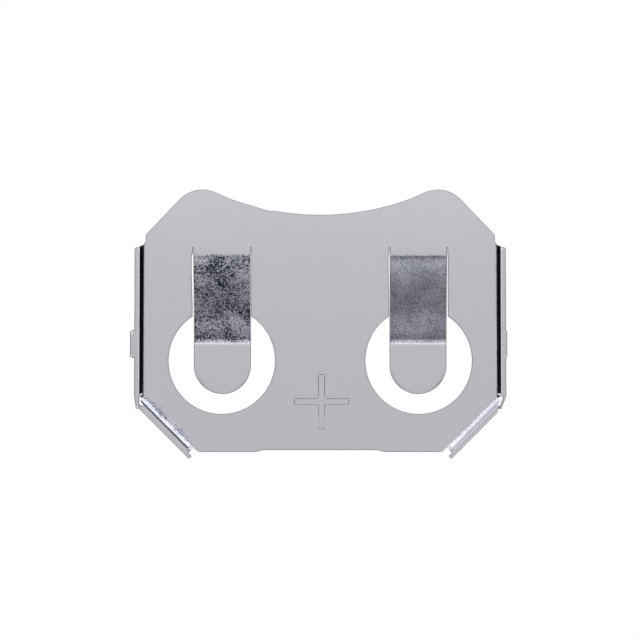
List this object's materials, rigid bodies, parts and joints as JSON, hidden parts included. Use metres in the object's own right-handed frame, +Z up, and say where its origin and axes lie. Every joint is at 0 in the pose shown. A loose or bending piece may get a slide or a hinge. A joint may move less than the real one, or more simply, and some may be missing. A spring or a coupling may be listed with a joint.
{
  "type": "coin cell holder",
  "caption": "Folded spring-sheet retainer that holds a flat round cell on a circuit board, with lanced contact fingers, side walls, slanted stop walls and solder feet.",
  "frame": {"origin": "on the board under the middle of the top plate, level with the undersides of the solder feet", "axes": "+X across the holder from side wall to side wall, +Y towards the open side where the cell slides in, +Z up from the board"},
  "size_m": [0.022, 0.0153, 0.0042],
  "materials": {
    "plated_sheet": "nickel-plated spring sheet, smooth rolled surface with a fine grain"
  },
  "bodies": {
    "root": {"retainer": "plated_sheet"}
  },
  "joints": []
}
